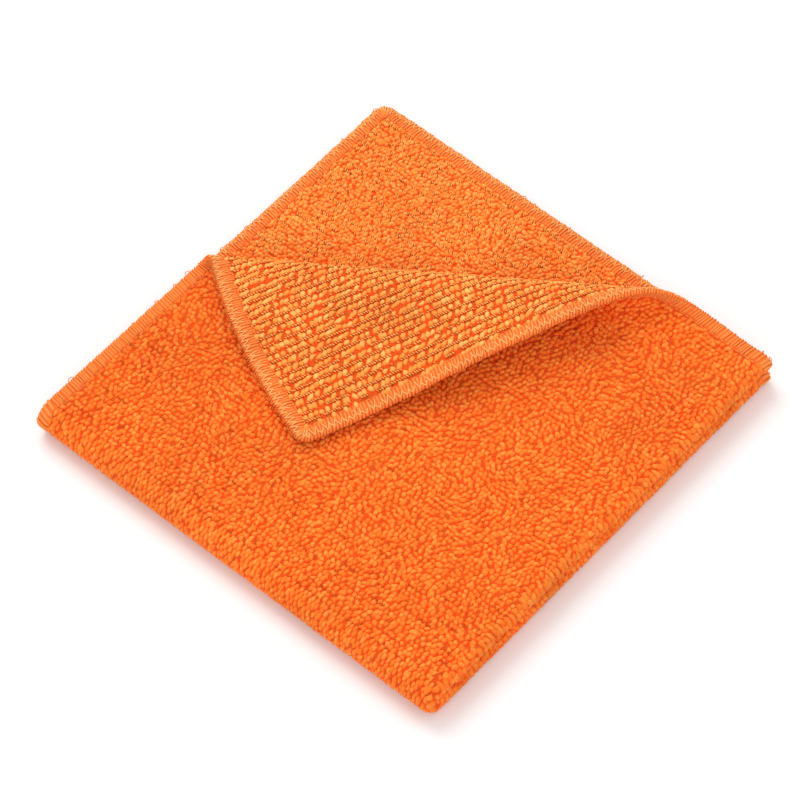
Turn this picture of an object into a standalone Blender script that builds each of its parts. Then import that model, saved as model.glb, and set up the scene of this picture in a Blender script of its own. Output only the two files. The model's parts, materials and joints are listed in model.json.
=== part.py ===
"""Quick-dry terry towel, folded twice into a square with one corner turned back.

One sheet of looped terry knit with an overlocked edge is folded in half, and the half is
folded again, so four plies lie on each other.  Seen from above, the first fold's two round
lips run along +X, the second fold runs along -Y, and the sewn edges lie along -X and +Y.
The top ply's free corner, at -X +Y, is rolled back over the stack.

The sheet is cut into nodes where it creases and where it moves: a hinge along the second
fold opens the upper half, and a hinge under the roll lays the turned corner out again.
Metres, +Z up, origin at the middle of the underside.
"""
import math

import bmesh
import bpy
import numpy as np

# The folded square
FOLDED_X = 0.160        # from the sewn left edges to the nose of the first fold
FOLDED_Y = 0.164        # from the nose of the second fold to the sewn back edges
PLY = 0.0029            # one ply of terry, loops included
GAP = 0.0003            # air between plies, and between neighbouring pieces of the sheet
ROLL_GAP = 0.0005       # the same between the wound pieces, whose facets cut across the bend

# The overlocked edge
EDGING = 0.0050         # width of the stitched band
EDGING_THICK = 0.0025   # the threads pull the loops flat, so the band is a little thinner
CORNER_RADIUS = 0.0040  # rounding of the cloth's four corners
SOFT_EDGE = 0.0006      # rounding along the rims of the flat pieces

# The turned corner.  The sheet lifts off along a straight line from the left edge to the
# back edge, winds through half a turn, and comes down again on the top ply.
LIFT_DOWN = 0.0940      # where the line meets the left edge, down from the cloth's corner
LIFT_SHORT = 0.0009     # where it meets the back edge, short of the first fold's lip
WIND_LEFT = 0.0180      # sheet taken up by the half turn, at the left end of the line
WIND_BACK = 0.0560      # and at the back end, where the roll is open
LAND_LEFT = 0.0400      # sheet taken up by the way down again, at the left end
LAND_BACK = 0.0740      # and at the back end
WIND_SKEW = 0.65        # under 1 the half turn is tightest near the lift-off line
FLATTEN = 0.76          # how far the roll sinks under its own weight
BOW = 0.0070            # how far the flap's left edge bows outwards, half way to its tip
BOW_REACH = 0.0800      # the bow fades out this far from the left edge
CELL_ALONG = 0.0040     # length of the rolled pieces' facets, along the lift-off line
CELL_ROWS = 52          # rows of facets from the lift-off line to past the cloth's corner
ROW_GROWTH = 1.7        # over 1 the rows are finest where the roll is tightest
PROFILE_STEPS = 160     # steps in which the roll's profile is summed

# The lines that the towel opens about
HINGE_OUT = 0.0025      # second fold: this far outside the plies' ends, half way up
TURN_IN = 0.0060        # turned corner: this far past the lift-off line,
TURN_UP = 0.0035        # and this far above the stack, inside the roll

ARC_STEPS = 12          # facets around a half turn of a fold

# Worked out from the sizes above
BACK_Y = FOLDED_Y / 2
LEFT_X = -FOLDED_X / 2
PITCH = PLY + GAP
STACK = 4 * PLY + 3 * GAP
FOLD_RADIUS = STACK / 2                    # outer radius of the second fold
LIP_RADIUS = PLY + GAP / 2                 # outer radius of each lip of the first fold
FOLD_Y = -FOLDED_Y / 2 + FOLD_RADIUS       # where the flat plies end and the fold begins
LIP_X = FOLDED_X / 2 - LIP_RADIUS          # where the flat plies end and the lips begin
INNER_X = LEFT_X + EDGING                  # the stitched band's inner side, left
INNER_Y = BACK_Y - EDGING                  # the stitched band's inner side, back
MID_Z = STACK / 2

TERRY = (0.93, 0.16, 0.012, 1.0)
TERRY_BACK = (0.96, 0.24, 0.035, 1.0)
THREAD = (0.97, 0.36, 0.09, 1.0)


def clear_scene():
    for obj in list(bpy.data.objects):
        bpy.data.objects.remove(obj, do_unlink=True)


def new_collection(name):
    group = bpy.data.collections.new(name)
    bpy.context.scene.collection.children.link(group)
    return group


def cloth_material(name, color, roughness):
    material = bpy.data.materials.new(name)
    material.use_nodes = True
    shader = material.node_tree.nodes["Principled BSDF"]
    shader.inputs["Base Color"].default_value = color
    shader.inputs["Roughness"].default_value = roughness
    shader.inputs["Metallic"].default_value = 0.0
    return material


def empty_at(name, place):
    pivot = bpy.data.objects.new(name, None)
    pivot.location = place
    pivot.empty_display_size = 0.02
    TOWEL.objects.link(pivot)
    return pivot


def add_object(name, data, color, parent):
    """Link one piece of the towel under the empty that carries it."""
    piece = bpy.data.objects.new(name, data)
    data.materials.append(cloth_material(name, color, 0.95))
    piece.parent = parent
    piece.matrix_parent_inverse = PARENT_INVERSE[parent.name]
    TOWEL.objects.link(piece)
    return piece


def ply_middle(level):
    """Height of the middle of a ply, counted from 0 at the bottom."""
    return level * PITCH + PLY / 2


# Flat pieces: an outline drawn in the plane and given the sheet's thickness.

def rounded_corner(centre_x, centre_y, radius, steps=5):
    """Points of the quarter arc at a cloth corner at -X +Y, from its left end to its back."""
    turns = [math.pi - math.pi / 2 * k / steps for k in range(steps + 1)]
    return [(centre_x + radius * math.cos(t), centre_y + radius * math.sin(t)) for t in turns]


def flat_piece(name, outline, level, thick, color, parent):
    """A plane outline, extruded to the sheet's thickness, with its rims rounded inwards."""
    curve = bpy.data.curves.new(name, "CURVE")
    curve.dimensions = "2D"
    curve.fill_mode = "BOTH"
    curve.extrude = thick / 2 - SOFT_EDGE
    curve.bevel_depth = SOFT_EDGE
    curve.bevel_resolution = 1
    curve.offset = -SOFT_EDGE
    spline = curve.splines.new("POLY")
    spline.points.add(len(outline) - 1)
    for point, (x, y) in zip(spline.points, outline):
        point.co = (x, y, 0.0, 1.0)
    spline.use_cyclic_u = True
    piece = add_object(name, curve, color, parent)
    piece.location.z = ply_middle(level)
    return piece


def quarter(name, level, color, parent):
    """One flat ply inside its stitched edges and its folds."""
    inset = GAP / 2
    outline = [
        (INNER_X + inset, FOLD_Y + GAP),
        (LIP_X - GAP, FOLD_Y + GAP),
        (LIP_X - GAP, INNER_Y - inset),
        (INNER_X + inset, INNER_Y - inset),
    ]
    return flat_piece(name, outline, level, PLY, color, parent)


def edging_corner(name, level, parent):
    """The stitched band along a ply's left and back edges, in one L round the corner."""
    inset = GAP / 2
    corner = rounded_corner(LEFT_X + CORNER_RADIUS, BACK_Y - CORNER_RADIUS, CORNER_RADIUS)
    outline = [(INNER_X - inset, FOLD_Y + GAP), (LEFT_X, FOLD_Y + GAP)] + corner
    outline = outline + [
        (LIP_X - GAP, BACK_Y),
        (LIP_X - GAP, INNER_Y + inset),
        (INNER_X - inset, INNER_Y + inset),
    ]
    outline.reverse()
    return flat_piece(name, outline, level, EDGING_THICK, THREAD, parent)


# Bent pieces: a grid of facets, each corner placed by a rule, then thickened about itself.

def thicken(piece, thick):
    solid = piece.modifiers.new("thickness", "SOLIDIFY")
    solid.thickness = thick
    solid.offset = 0.0
    return piece


def bent_strip(name, cells, place, thick, color, parent):
    """A grid over u and v from 0 to 1, with each corner moved to place(u, v)."""
    mesh = bpy.data.meshes.new(name)
    grid = bmesh.new()
    bmesh.ops.create_grid(grid, x_segments=cells[0], y_segments=cells[1], size=0.5)
    for corner in grid.verts:
        corner.co = place(corner.co.x + 0.5, corner.co.y + 0.5)
    bmesh.ops.recalc_face_normals(grid, faces=grid.faces)
    grid.to_mesh(mesh)
    grid.free()
    mesh.shade_smooth()
    return thicken(add_object(name, mesh, color, parent), thick)


def fold_band(name, radius, x_from, x_to, thick, color):
    """Half a turn of one ply around the second fold, from the lower end up to the upper."""
    def place(u, v):
        turn = math.pi * (v - 0.5)
        x = x_from + (x_to - x_from) * u
        return (x, FOLD_Y - radius * math.cos(turn), MID_Z + radius * math.sin(turn))
    return bent_strip(name, (1, ARC_STEPS), place, thick, color, LOWER)


def lip(name, lower_level, y_from, y_to, thick, color, parent):
    """Half a turn of the sheet between two plies, along the first fold."""
    middle = (ply_middle(lower_level) + ply_middle(lower_level + 1)) / 2
    radius = PITCH / 2

    def place(u, v):
        turn = math.pi * (v - 0.5)
        y = y_from + (y_to - y_from) * u
        return (LIP_X + radius * math.cos(turn), y, middle + radius * math.sin(turn))
    return bent_strip(name, (1, ARC_STEPS), place, thick, color, parent)


def closed_corner(name):
    """The first fold's lip carried half a turn round the second fold."""
    radius = PITCH / 2

    def place(u, v):
        around_fold = math.pi * (u - 0.5)
        around_lip = math.pi * (v - 0.5)
        reach = PITCH + radius * math.sin(around_lip)
        y = FOLD_Y - reach * math.cos(around_fold)
        z = MID_Z + reach * math.sin(around_fold)
        return (LIP_X + radius * math.cos(around_lip), y, z)
    return bent_strip(name, (ARC_STEPS, ARC_STEPS), place, PLY, TERRY, LOWER)


# The turned corner: the top ply's flat plan, cut into pieces, then wound up.

LINE_START = np.array([LEFT_X, BACK_Y - LIFT_DOWN])
LINE_END = np.array([LIP_X - LIFT_SHORT, BACK_Y])
LINE_LENGTH = float(np.linalg.norm(LINE_END - LINE_START))
ALONG = (LINE_END - LINE_START) / LINE_LENGTH
ACROSS = np.array([-ALONG[1], ALONG[0]])


def half_turn(share):
    """Angle wound at a share, 0 to 1, of the half turn: slow at both ends."""
    share = np.clip(share, 0.0, 1.0) ** WIND_SKEW
    return np.pi * share - np.sin(2 * np.pi * share) / 2


STEP_MIDDLES = (np.arange(PROFILE_STEPS) + 0.5) / PROFILE_STEPS
RISE_SHARE = float(np.mean(np.sin(half_turn(STEP_MIDDLES))))


def wind_up(x, y, above):
    """Carry points of the top ply's flat plan to their places on the rolled corner.

    The distance of a point from the lift-off line is walked in small steps.  Each step goes
    forward by the cosine and up by the sine of the sheet's slope there.  The slope turns
    through half a circle, and then dips for the way down, just enough to land on the ply.
    A point above or below the middle of the ply is then set off square to the slope.
    The flap is also pulled sideways by half a sine wave, which bows its left edge.
    """
    from_start = np.stack([x, y], axis=-1) - LINE_START
    along = from_start @ ALONG
    distance = from_start @ ACROSS
    share = np.clip(along / LINE_LENGTH, 0.0, 1.4)
    wind = WIND_LEFT + (WIND_BACK - WIND_LEFT) * share
    land = LAND_LEFT + (LAND_BACK - LAND_LEFT) * share
    drop = wind * RISE_SHARE - (PITCH + GAP) / FLATTEN
    dip = np.arcsin(np.clip(drop / (0.5 * land), -0.9, 0.9))
    lifted = np.maximum(distance, 0.0)[:, None]
    walked = lifted * np.append(STEP_MIDDLES, 1.0)
    slope = half_turn(walked / wind[:, None])
    descent = np.clip((walked - wind[:, None]) / land[:, None], 0.0, 1.0)
    slope = slope + dip[:, None] * np.sin(np.pi * descent) ** 2
    step = lifted[:, 0] / PROFILE_STEPS
    forward = np.minimum(distance, 0.0) + np.cos(slope[:, :-1]).sum(axis=1) * step
    height = np.sin(slope[:, :-1]).sum(axis=1) * step * FLATTEN
    ahead = np.cos(slope[:, -1])
    climb = np.sin(slope[:, -1]) * FLATTEN
    offset = above / np.hypot(ahead, climb)
    forward = forward - offset * climb
    height = height + offset * ahead
    into_flap = np.clip((distance - 0.6 * wind) / BOW_REACH, 0.0, 1.0)
    bow = BOW * np.sin(np.pi * into_flap) * np.clip(1 - along / BOW_REACH, 0.0, 1.0)
    plan = LINE_START + (along - bow)[:, None] * ALONG + forward[:, None] * ACROSS
    return np.column_stack([plan, ply_middle(3) + height])


def crest_distance(along):
    """Where the half turn ends, measured across from the lift-off line."""
    return WIND_LEFT + (WIND_BACK - WIND_LEFT) * along / LINE_LENGTH


CREST_LINE = (
    LINE_START + ACROSS * WIND_LEFT,
    LINE_END + ACROSS * WIND_BACK,
)


def cut_along(grid, start, end, shift):
    """Cut the facets along the line from start to end, moved sideways by shift."""
    side = np.array([-(end - start)[1], (end - start)[0]]) / np.linalg.norm(end - start)
    point = start + side * shift
    bmesh.ops.bisect_plane(
        grid,
        geom=grid.verts[:] + grid.edges[:] + grid.faces[:],
        dist=1e-6,
        plane_co=(point[0], point[1], 0.0),
        plane_no=(side[0], side[1], 0.0),
    )


def side_of(start, end, point):
    """Distance of a plan point to the left of the line from start to end."""
    way = (end - start) / np.linalg.norm(end - start)
    rel = np.asarray(point) - start
    return way[0] * rel[1] - way[1] * rel[0]


def round_the_tip(grid):
    """Cut the cloth's corner to its rounding with a few planes that touch the arc."""
    centre = (LEFT_X + CORNER_RADIUS, BACK_Y - CORNER_RADIUS)
    for k in range(1, 6):
        turn = math.pi / 2 + math.pi / 2 * k / 6
        out = (math.cos(turn), math.sin(turn), 0.0)
        touch = (centre[0] + CORNER_RADIUS * out[0], centre[1] + CORNER_RADIUS * out[1], 0.0)
        bmesh.ops.bisect_plane(
            grid,
            geom=grid.verts[:] + grid.edges[:] + grid.faces[:],
            dist=1e-6,
            plane_co=touch,
            plane_no=out,
            clear_outer=True,
        )


def rolled_piece(name, keep, thick, color, parent):
    """The part of the top ply's plan where keep(x, y, lifted, past_crest) holds, wound up.

    keep is asked at the middle of each facet.  lifted and past_crest are the distances
    past the lift-off line and past the crest of the roll.
    """
    mesh = bpy.data.meshes.new(name)
    grid = bmesh.new()
    reach = 1.2 * max(FOLDED_X, FOLDED_Y)
    columns = int(math.ceil(2 * reach / CELL_ALONG))
    bmesh.ops.create_grid(grid, x_segments=columns, y_segments=CELL_ROWS + 1, size=1.0)
    for corner in grid.verts:
        row = (corner.co.y + 1) / 2 * (CELL_ROWS + 1) - 1
        across = reach * math.copysign(abs(row / CELL_ROWS) ** ROW_GROWTH, row)
        if row < -0.5:
            across = -reach
        plan = LINE_START + ALONG * (corner.co.x * reach) + ACROSS * across
        corner.co = (plan[0], plan[1], 0.0)
    edges = (
        ((LEFT_X, 0.0, 0.0), (-1.0, 0.0, 0.0)),
        ((0.0, BACK_Y, 0.0), (0.0, 1.0, 0.0)),
        ((LIP_X - GAP, 0.0, 0.0), (1.0, 0.0, 0.0)),
    )
    for point, out in edges:
        geometry = grid.verts[:] + grid.edges[:] + grid.faces[:]
        bmesh.ops.bisect_plane(
            grid, geom=geometry, dist=1e-6, plane_co=point, plane_no=out, clear_outer=True
        )
    round_the_tip(grid)
    inner_left = (np.array([INNER_X, 0.0]), np.array([INNER_X, 1.0]))
    inner_back = (np.array([0.0, INNER_Y]), np.array([1.0, INNER_Y]))
    for start, end in (inner_left, inner_back, CREST_LINE, (LINE_START, LINE_END)):
        cut_along(grid, start, end, -ROLL_GAP / 2)
        cut_along(grid, start, end, ROLL_GAP / 2)
    doomed = []
    for facet in grid.faces:
        middle = facet.calc_center_median()
        point = (middle.x, middle.y)
        lifted = side_of(LINE_START, LINE_END, point)
        past_crest = side_of(CREST_LINE[0], CREST_LINE[1], point)
        if not keep(middle.x, middle.y, lifted, past_crest):
            doomed.append(facet)
    bmesh.ops.delete(grid, geom=doomed, context="FACES")
    bmesh.ops.remove_doubles(grid, verts=grid.verts, dist=0.00004)
    bmesh.ops.dissolve_degenerate(grid, edges=grid.edges, dist=0.00002)
    bmesh.ops.triangulate(grid, faces=grid.faces)
    bmesh.ops.solidify(grid, geom=grid.faces[:], thickness=thick)
    flat = np.array([corner.co for corner in grid.verts])
    above = flat[:, 2] - (flat[:, 2].max() + flat[:, 2].min()) / 2
    for corner, place in zip(grid.verts, wind_up(flat[:, 0], flat[:, 1], above)):
        corner.co = place
    bmesh.ops.recalc_face_normals(grid, faces=grid.faces)
    grid.to_mesh(mesh)
    grid.free()
    return add_object(name, mesh, color, parent)


def in_ply(x, y):
    """Inside the stitched band."""
    return x > INNER_X + ROLL_GAP / 2 and y < INNER_Y - ROLL_GAP / 2


def in_left_band(x, y):
    return x < INNER_X - ROLL_GAP / 2


def in_back_band(x, y):
    return y > INNER_Y + ROLL_GAP / 2


def top_quarter_outline():
    """The flat part of the top ply: a quarter with the turned corner's triangle left out."""
    inset = GAP / 2
    slope = ALONG[1] / ALONG[0]
    left = LINE_START[1] + (INNER_X + inset - LINE_START[0]) * slope - inset / ALONG[0]
    back = LINE_START[0] + (INNER_Y - inset - LINE_START[1] + inset / ALONG[0]) / slope
    return [
        (INNER_X + inset, FOLD_Y + GAP),
        (LIP_X - GAP, FOLD_Y + GAP),
        (LIP_X - GAP, INNER_Y - inset),
        (back, INNER_Y - inset),
        (INNER_X + inset, left),
    ]


def top_left_edging_outline():
    """The stitched band of the top ply's left edge, up to the lift-off line."""
    inset = GAP / 2
    slope = ALONG[1] / ALONG[0]
    outer = LINE_START[1] - inset / ALONG[0]
    inner = outer + (EDGING - inset) * slope
    return [
        (LEFT_X, FOLD_Y + GAP),
        (INNER_X - inset, FOLD_Y + GAP),
        (INNER_X - inset, inner),
        (LEFT_X, outer),
    ]


clear_scene()
TOWEL = new_collection("quick_dry_towel")
LOWER = empty_at("lower_half_origin", (0.0, 0.0, 0.0))
UPPER = empty_at("second_fold_axis", (0.0, FOLD_Y - HINGE_OUT, MID_Z))
TURN_START = LINE_START + ACROSS * TURN_IN
CORNER = empty_at("corner_turn_axis", (TURN_START[0], TURN_START[1], STACK + TURN_UP))
CORNER.parent = UPPER
bpy.context.view_layer.update()
CORNER.matrix_parent_inverse = UPPER.matrix_world.inverted()
bpy.context.view_layer.update()
PARENT_INVERSE = {pivot.name: pivot.matrix_world.inverted() for pivot in (LOWER, UPPER, CORNER)}

# Flat plies, bottom to top
quarter("bottom_quarter", 0, TERRY, LOWER)
quarter("second_quarter", 1, TERRY_BACK, LOWER)
quarter("third_quarter", 2, TERRY_BACK, UPPER)
flat_piece("top_quarter", top_quarter_outline(), 3, PLY, TERRY, UPPER)

# First fold: two lips along +X
lip("first_fold_lower_lip", 0, FOLD_Y + GAP, INNER_Y - GAP / 2, PLY, TERRY, LOWER)
lip("first_fold_upper_lip", 2, FOLD_Y + GAP, INNER_Y - GAP / 2, PLY, TERRY, UPPER)

# Second fold along -Y, one band inside the other, and the corner where both folds meet
OUTER_RADIUS = 1.5 * PITCH
INNER_RADIUS = 0.5 * PITCH
BAND_FROM = INNER_X + GAP / 2
fold_band("second_fold_outer", OUTER_RADIUS, BAND_FROM, LIP_X - GAP, PLY, TERRY)
fold_band("second_fold_inner", INNER_RADIUS, BAND_FROM, LIP_X - GAP, PLY, TERRY_BACK)
closed_corner("closed_corner")

# Overlocked edges of the lower three plies and of the folds' ends
edging_corner("bottom_edging", 0, LOWER)
edging_corner("second_edging", 1, LOWER)
edging_corner("third_edging", 2, UPPER)
flat_piece("top_left_edging", top_left_edging_outline(), 3, EDGING_THICK, THREAD, UPPER)
lip("lower_lip_edging", 0, INNER_Y + GAP / 2, BACK_Y, EDGING_THICK, THREAD, LOWER)
lip("upper_lip_edging", 2, INNER_Y + GAP / 2, BACK_Y, EDGING_THICK, THREAD, UPPER)
BAND_END = INNER_X - GAP / 2
fold_band("outer_fold_edging", OUTER_RADIUS, LEFT_X, BAND_END, EDGING_THICK, THREAD)
fold_band("inner_fold_edging", INNER_RADIUS, LEFT_X, BAND_END, EDGING_THICK, THREAD)

# The turned corner: the roll, the flap beyond its crest, and their stitched edges
rolled_piece(
    "corner_roll",
    lambda x, y, lifted, past: in_ply(x, y) and lifted > ROLL_GAP / 2 and past < -ROLL_GAP / 2,
    PLY, TERRY_BACK, UPPER,
)
rolled_piece(
    "roll_left_edging",
    lambda x, y, lifted, past: in_left_band(x, y) and lifted > ROLL_GAP / 2 and past < -ROLL_GAP / 2,
    EDGING_THICK, THREAD, UPPER,
)
rolled_piece(
    "roll_back_edging",
    lambda x, y, lifted, past: in_back_band(x, y) and past < -ROLL_GAP / 2,
    EDGING_THICK, THREAD, UPPER,
)
rolled_piece(
    "corner_flap",
    lambda x, y, lifted, past: in_ply(x, y) and past > ROLL_GAP / 2,
    PLY, TERRY_BACK, CORNER,
)
rolled_piece(
    "flap_edging",
    lambda x, y, lifted, past: (in_left_band(x, y) or in_back_band(x, y)) and past > ROLL_GAP / 2,
    EDGING_THICK, THREAD, CORNER,
)
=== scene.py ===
"""Quick-dry terry towel, folded twice into a square, with its top corner turned back.

The towel is one sheet of looped knit with an overlocked edge.  Every piece is first worked
out on the flat towel, in (u, v, above): u runs from the sewn left edge over the first fold
to the sewn edge under it, v from the upper back edge over the second fold to the lower one,
and above is the height over the middle of the cloth on its looped face.  One function,
place, then carries the points of the flat towel to where they lie in the folded one.
Metres, +Z up.
"""

import json
import math

import bpy
import mathutils
import numpy as np
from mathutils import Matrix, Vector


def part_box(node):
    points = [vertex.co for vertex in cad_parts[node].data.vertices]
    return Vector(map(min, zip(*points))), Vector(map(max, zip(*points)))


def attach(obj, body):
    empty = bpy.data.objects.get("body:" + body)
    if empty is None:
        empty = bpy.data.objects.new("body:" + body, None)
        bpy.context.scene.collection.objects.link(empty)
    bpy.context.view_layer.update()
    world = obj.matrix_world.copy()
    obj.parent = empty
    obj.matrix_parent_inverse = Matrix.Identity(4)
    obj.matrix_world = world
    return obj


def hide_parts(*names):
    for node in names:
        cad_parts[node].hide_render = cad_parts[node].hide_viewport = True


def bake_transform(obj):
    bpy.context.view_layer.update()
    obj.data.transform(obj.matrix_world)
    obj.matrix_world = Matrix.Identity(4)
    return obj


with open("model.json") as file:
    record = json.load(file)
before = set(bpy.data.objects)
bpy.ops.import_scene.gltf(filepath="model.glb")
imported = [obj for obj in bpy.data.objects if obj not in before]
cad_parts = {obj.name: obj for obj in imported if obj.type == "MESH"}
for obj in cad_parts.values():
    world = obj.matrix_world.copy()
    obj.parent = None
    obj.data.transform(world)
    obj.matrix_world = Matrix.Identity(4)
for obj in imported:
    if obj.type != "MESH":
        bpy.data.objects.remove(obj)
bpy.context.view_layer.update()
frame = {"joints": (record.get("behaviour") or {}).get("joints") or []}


# The folded cloth ---------------------------------------------------------------------
# The real piece is one knitted sheet.  It is folded in half over the right side, and in
# half again over the front, so that four plies lie on each other with their loops between
# them, and the plies' ends meet at the left and at the back.

bottom_low, bottom_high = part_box("bottom_quarter")
second_low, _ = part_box("second_quarter")
sewn_low, sewn_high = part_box("bottom_edging")
fold_low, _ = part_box("second_fold_outer")
_, lip_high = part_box("first_fold_lower_lip")

PLY = bottom_high.z - bottom_low.z          # one ply, loops included
PITCH = second_low.z - bottom_low.z         # from one ply to the next
STACK = 3 * PITCH + PLY
MID_Z = STACK / 2
LEFT_X = sewn_low.x                         # the sewn edges
BACK_Y = sewn_high.y
FOLD_Y = fold_low.y + STACK / 2             # where the plies end and the second fold begins
LIP_X = lip_high.x - (PITCH + PLY) / 2      # where the plies end and the first fold begins
FLAT_U = LIP_X - LEFT_X                     # flat length of a ply, across the first fold
FLAT_V = BACK_Y - FOLD_Y                    # and across the second
LIP_ARC = math.pi * PITCH / 2               # cloth that the first fold takes up
FOLD_ARC = math.pi * PITCH                  # cloth that the second fold takes up, on average
WIDTH = 2 * FLAT_U + LIP_ARC
LENGTH = 2 * FLAT_V + FOLD_ARC

# The turned corner lifts off along a straight line, winds through half a turn, and comes
# down again on the top ply.
corner_turn = [j for j in frame["joints"] if j["name"] == "corner_turn"][0]
ALONG = -np.array(corner_turn["axis"][:2])
ALONG = ALONG / np.linalg.norm(ALONG)
ACROSS = np.array([-ALONG[1], ALONG[0]])
LIFT_DOWN = 0.0940       # where the line meets the left edge, down from the cloth's corner
LIFT_SHORT = 0.0009      # where it meets the back edge, short of the first fold
WIND_LEFT, WIND_BACK = 0.0180, 0.0560    # cloth in the half turn, at the line's two ends
LAND_LEFT, LAND_BACK = 0.0400, 0.0740    # cloth in the way down again, at the two ends
WIND_SKEW = 0.65         # under 1 the half turn is tightest near the lift-off line
FLATTEN = 0.76           # how far the roll sinks under its own weight
BOW, BOW_REACH = 0.0070, 0.0800          # how far the flap's left edge bows outwards
BOW_START = 0.6          # share of the half turn at which the bow begins
STEEPEST = 0.9           # limit on the sine of the way down's slope
PAST_BACK = 1.4          # share of the line up to which its widths go on growing
LINE_START = np.array([LEFT_X, BACK_Y - LIFT_DOWN])
LINE_LENGTH = float(np.hypot(FLAT_U - LIFT_SHORT, LIFT_DOWN))
PROFILE_STEPS = 96
BATCH = 20000            # points wound up at a time, so that the steps' arrays stay small


def half_turn(share):
    """Angle wound at a share of the half turn: pi s - sin(2 pi s) / 2, with s skewed."""
    share = np.clip(share, 0.0, 1.0) ** WIND_SKEW
    return np.pi * share - np.sin(2 * np.pi * share) / 2


STEP_MIDDLES = (np.arange(PROFILE_STEPS) + 0.5) / PROFILE_STEPS
RISE_SHARE = float(np.mean(np.sin(half_turn(STEP_MIDDLES))))


def wind_up(x, y, above):
    """Points of the top ply's plan, carried up the roll and down onto the ply again.

    The distance from the lift-off line is walked in small steps, each going forward by the
    cosine and up by the sine of the slope there.  The slope turns through half a circle and
    dips once for the way down.  A point is then set off square to the slope by above.
    """
    from_start = np.stack([x, y], axis=-1) - LINE_START
    along, distance = from_start @ ALONG, from_start @ ACROSS
    share = np.clip(along / LINE_LENGTH, 0.0, PAST_BACK)
    wind = WIND_LEFT + (WIND_BACK - WIND_LEFT) * share
    land = LAND_LEFT + (LAND_BACK - LAND_LEFT) * share
    drop = wind * RISE_SHARE - (2 * PITCH - PLY) / FLATTEN
    dip = np.arcsin(np.clip(drop / (0.5 * land), -STEEPEST, STEEPEST))
    lifted = np.maximum(distance, 0.0)[:, None]
    walked = lifted * np.append(STEP_MIDDLES, 1.0)
    slope = half_turn(walked / wind[:, None])
    descent = np.clip((walked - wind[:, None]) / land[:, None], 0.0, 1.0)
    slope = slope + dip[:, None] * np.sin(np.pi * descent) ** 2
    step = lifted[:, 0] / PROFILE_STEPS
    forward = np.minimum(distance, 0.0) + np.cos(slope[:, :-1]).sum(axis=1) * step
    height = np.sin(slope[:, :-1]).sum(axis=1) * step * FLATTEN
    ahead, climb = np.cos(slope[:, -1]), np.sin(slope[:, -1]) * FLATTEN
    offset = above / np.hypot(ahead, climb)
    forward = forward - offset * climb
    height = height + offset * ahead
    into_flap = np.clip((distance - BOW_START * wind) / BOW_REACH, 0.0, 1.0)
    bow = BOW * np.sin(np.pi * into_flap) * np.clip(1 - along / BOW_REACH, 0.0, 1.0)
    plan = LINE_START + (along - bow)[:, None] * ALONG + forward[:, None] * ACROSS
    return np.column_stack([plan, 3 * PITCH + PLY / 2 + height])


def past_line(u, v):
    """How far a point of the flat towel lies past the lift-off line; negative before it."""
    plan = np.stack([LEFT_X + u, BACK_Y - v], axis=-1) - LINE_START
    beyond = plan @ ACROSS
    return np.where((u < FLAT_U) & (v < FLAT_V), beyond, -1.0)


def place(flat):
    """Points (u, v, above) of the flat towel, carried to the folded one.

    Across each fold the cloth runs straight, half a turn round, and straight back.  The
    first fold gives the distance from the middle of the stack, pitch + (pitch / 2 + above)
    times the sine of its turn, and the second fold swings that distance round its own turn.
    """
    u, v, above = np.asarray(flat, float).T
    lip_turn = np.pi / 2 - np.pi * np.clip((u - FLAT_U) / LIP_ARC, 0.0, 1.0)
    fold_turn = np.pi / 2 - np.pi * np.clip((v - FLAT_V) / FOLD_ARC, 0.0, 1.0)
    lip_reach = PITCH / 2 + above
    reach = PITCH + lip_reach * np.sin(lip_turn)
    x = LEFT_X + np.minimum(np.minimum(u, WIDTH - u), FLAT_U) + lip_reach * np.cos(lip_turn)
    y = BACK_Y - np.minimum(np.minimum(v, LENGTH - v), FLAT_V) - reach * np.cos(fold_turn)
    points = np.column_stack([x, y, MID_Z + reach * np.sin(fold_turn)])
    turned = np.nonzero(past_line(u, v) > 0)[0]
    for batch in np.array_split(turned, 1 + len(turned) // BATCH):
        points[batch] = wind_up(LEFT_X + u[batch], BACK_Y - v[batch], above[batch])
    return points


def swirl(u, v, seed):
    """A smooth field between about -1 and 1: three crossed sine waves of 15 to 50 mm."""
    waves = [(130.0, 61.0), (-83.0, 171.0), (239.0, -157.0)]
    total = sum(
        np.sin(a * u + b * v + seed * (k + 1.7) + 1.3 * np.sin(b * u - a * v + seed))
        for k, (a, b) in enumerate(waves)
    )
    return total / 3


# Which part of the towel a place on the flat sheet belongs to.
LOWER, UPPER, OUTER_FOLD, INNER_FOLD, TURNED = range(5)
PART_NAMES = ["lower", "upper", "outer_fold", "inner_fold", "turned"]


def part_of(u, v):
    """The part that carries each point: a half, one of the second fold's bands, or the turned
    corner."""
    part = np.where(v < FLAT_V, UPPER, LOWER)
    on_fold = (v >= FLAT_V) & (v <= FLAT_V + FOLD_ARC)
    part = np.where(on_fold & (u < WIDTH / 2), OUTER_FOLD, part)
    part = np.where(on_fold & (u >= WIDTH / 2), INNER_FOLD, part)
    return np.where(past_line(u, v) > 0, TURNED, part)


GROUND = 0.0013          # thickness of the knit that the loops stand on


def carry(piece, part):
    """The piece rides its half; a piece of a fold or of the turned corner has its place baked
    into its mesh instead.
    """
    if part == LOWER:
        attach(piece, "lower_half")
    elif part == UPPER:
        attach(piece, "upper_half")
    elif part == OUTER_FOLD:
        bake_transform(piece)
    elif part == INNER_FOLD:
        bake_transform(piece)
    else:
        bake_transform(piece)


# Knit and thread ----------------------------------------------------------------------
# The yarn is split polyester and polyamide microfibre, dyed through in one orange.  It is
# matt, and its hair-fine ends catch light at the rims of the loops.  A loop's points carry
# two attributes: rise, from 0 at its foot to 1 at its top, and tone, its own paleness.  By
# rise the colour is painted deep at a loop's foot, painted shade between the loops, and
# bright at its top, painted light.

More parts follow.
